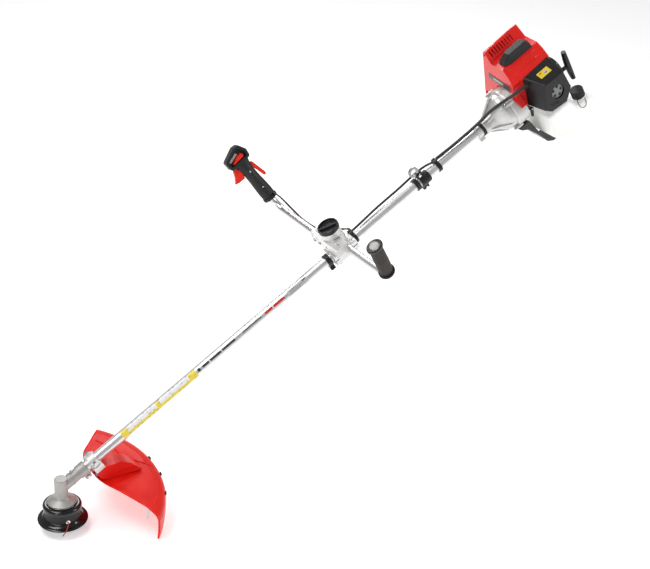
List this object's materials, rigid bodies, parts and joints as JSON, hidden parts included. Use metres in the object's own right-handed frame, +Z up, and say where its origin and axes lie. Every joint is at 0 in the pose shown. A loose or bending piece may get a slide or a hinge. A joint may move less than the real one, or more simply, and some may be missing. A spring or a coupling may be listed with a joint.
{
  "type": "brush mower",
  "caption": "Petrol brush mower with a straight drive tube, bull-horn handlebar, trimmer head under a fan-shaped guard, and a two-stroke engine with recoil starter and tank.",
  "frame": {"origin": "middle of the bump knob's flat bottom face, on the cutting head's spindle axis", "axes": "+Z up along the cutting head's spindle axis; the drive tube rises 30 degrees towards +X, where the engine is; +Y is the throttle-grip side"},
  "size_m": [1.6809, 0.6771, 1.1399],
  "materials": {
    "aluminium_cast": "sand cast, satin",
    "tube_anodised": "anodised, satin",
    "steel": "machined",
    "zinc_fasteners": "bright zinc plated",
    "black_gloss": "glossy moulded",
    "black_satin": "fine moulded texture",
    "grey_plastic": "moulded",
    "red_plastic": "glossy moulded",
    "red_line": "extruded nylon",
    "grip_rubber": "soft matt",
    "cable_black": "sheathed",
    "tank_translucent": "translucent white, smooth",
    "muffler_steel": "heat darkened",
    "flywheel_alu": "die cast",
    "reel_nylon": "moulded"
  },
  "bodies": {
    "frame": {"air_cleaner_cover": "black_satin", "ball_bearings": "steel", "cable_clips": "black_satin", "carburettor": "flywheel_alu", "clamp_bolts": "zinc_fasteners", "clutch_housing": "aluminium_cast", "crankcase": "aluminium_cast", "cylinder": "aluminium_cast", "engine_cover": "red_plastic", "fuel_tank": "tank_translucent", "gear_case": "aluminium_cast", "guard_clamp": "zinc_fasteners", "guard_shell": "red_plastic", "handle_base": "aluminium_cast", "hanger_clamp": "black_satin", "head_and_housing_bolts": "zinc_fasteners", "isolator_ring": "cable_black", "line_cutter": "steel", "muffler": "muffler_steel", "muffler_guard": "red_plastic", "plug_cover": "black_satin", "shaft_bushes": "black_satin", "shaft_tube": "tube_anodised", "spark_plug": "zinc_fasteners", "starter_housing": "black_satin", "tank_guard": "black_satin", "throttle_cable": "cable_black", "tube_collars": "black_satin"},
    "cutting_head": {"head_shells": "black_gloss", "line_eyelets": "steel", "line_ends": "red_line", "drive_flange": "zinc_fasteners", "output_spindle": "steel", "bevel_gear": "steel", "bump_spring": "steel"},
    "bump_button": {"bump_knob": "black_satin"},
    "spool": {"line_spool": "grey_plastic"},
    "drive_line": {"drive_shaft": "steel", "bevel_pinion": "steel", "clutch_drum": "steel"},
    "crank": {"crankshaft": "steel", "flywheel": "flywheel_alu", "clutch_shoes": "steel"},
    "piston": {"piston": "aluminium_cast"},
    "rod": {"connecting_rod": "aluminium_cast"},
    "handlebar": {"handle_cup": "aluminium_cast", "handle_tubes": "tube_anodised", "throttle_housing": "black_satin", "left_grip": "grip_rubber"},
    "clamp_knob": {"handle_knob": "black_satin"},
    "trigger": {"throttle_trigger": "red_plastic"},
    "lock_lever": {"throttle_lock": "red_plastic"},
    "stop_button": {"stop_switch": "red_plastic"},
    "ring": {"hanger_ring": "zinc_fasteners"},
    "pull_grip": {"starter_grip": "black_satin", "starter_rope": "cable_black"},
    "reel": {"starter_reel": "reel_nylon"},
    "tank_cap": {"fuel_cap": "black_satin"},
    "filter_knob": {"cover_knob": "grey_plastic"},
    "choke": {"choke_lever": "black_satin"}
  },
  "joints": [
    {"name": "head_spin", "type": "hinge", "parent": "frame", "child": "cutting_head", "pos_m": [0, 0, 0.1127], "axis": [0, 0, 1], "continuous": true},
    {"name": "bump_feed", "type": "slide", "parent": "cutting_head", "child": "bump_button", "axis": [0, 0, 1], "range_m": [0, 0.006], "deforming": ["bump_spring"]},
    {"name": "spool_turn", "type": "hinge", "parent": "bump_button", "child": "spool", "pos_m": [0, 0, 0.035], "axis": [0, 0, 1], "continuous": true},
    {"name": "drive_spin", "type": "hinge", "parent": "frame", "child": "drive_line", "pos_m": [0, 0, 0.1127], "axis": [0.866, 0, 0.5], "continuous": true},
    {"name": "crank_spin", "type": "hinge", "parent": "frame", "child": "crank", "pos_m": [1.42808, 0, 0.9372], "axis": [0.866, 0, 0.5], "continuous": true},
    {"name": "piston_travel", "type": "slide", "parent": "frame", "child": "piston", "axis": [0.5, 0, -0.866], "range_m": [0, 0.035]},
    {"name": "rod_swing", "type": "hinge", "parent": "piston", "child": "rod", "pos_m": [1.38833, 0, 1.00605], "axis": [0.866, 0, 0.5], "range_deg": [-13, 13]},
    {"name": "handlebar_swivel", "type": "hinge", "parent": "frame", "child": "handlebar", "pos_m": [0.81875, 0, 0.61658], "axis": [-0.5, 0, 0.866], "range_deg": [0, 85]},
    {"name": "clamp_knob_turn", "type": "hinge", "parent": "handlebar", "child": "clamp_knob", "pos_m": [0.79225, 0, 0.66248], "axis": [-0.5, 0, 0.866], "range_deg": [0, 720]},
    {"name": "trigger_pull", "type": "hinge", "parent": "handlebar", "child": "trigger", "pos_m": [0.6913, 0.31294, 0.73435], "axis": [-0.1611, -0.9467, 0.279], "range_deg": [0, 18]},
    {"name": "lock_press", "type": "hinge", "parent": "handlebar", "child": "lock_lever", "pos_m": [0.72842, 0.30995, 0.74561], "axis": [0.1611, 0.9467, -0.279], "range_deg": [0, 9]},
    {"name": "stop_slide", "type": "slide", "parent": "handlebar", "child": "stop_button", "axis": [0.8296, 0.0232, 0.5578], "range_m": [0, 0.004]},
    {"name": "ring_swing", "type": "hinge", "parent": "frame", "child": "ring", "pos_m": [1.07296, 0, 0.75827], "axis": [0, 1, 0], "range_deg": [-10, 75]},
    {"name": "starter_pull", "type": "slide", "parent": "frame", "child": "pull_grip", "axis": [0.866, 0, 0.5], "range_m": [0, 0.6]},
    {"name": "reel_turn", "type": "hinge", "parent": "frame", "child": "reel", "pos_m": [1.50342, 0, 0.9807], "axis": [0.866, 0, 0.5], "range_deg": [0, 1330]},
    {"name": "cap_turn", "type": "hinge", "parent": "frame", "child": "tank_cap", "pos_m": [1.56767, -0.05, 0.92542], "axis": [-0.5, 0, 0.866], "range_deg": [0, 540]},
    {"name": "filter_knob_turn", "type": "hinge", "parent": "frame", "child": "filter_knob", "pos_m": [1.44369, -0.097, 0.96815], "axis": [0, -1, 0], "range_deg": [0, 720]},
    {"name": "choke_turn", "type": "hinge", "parent": "frame", "child": "choke", "pos_m": [1.40576, -0.052, 0.90584], "axis": [0, -1, 0], "range_deg": [0, 45]}
  ],
  "couplings": [
    {"joint": "drive_spin", "follows": "head_spin", "ratio": -1.3571},
    {"joint": "reel_turn", "follows": "starter_pull", "rad_per_m": 38.462}
  ]
}
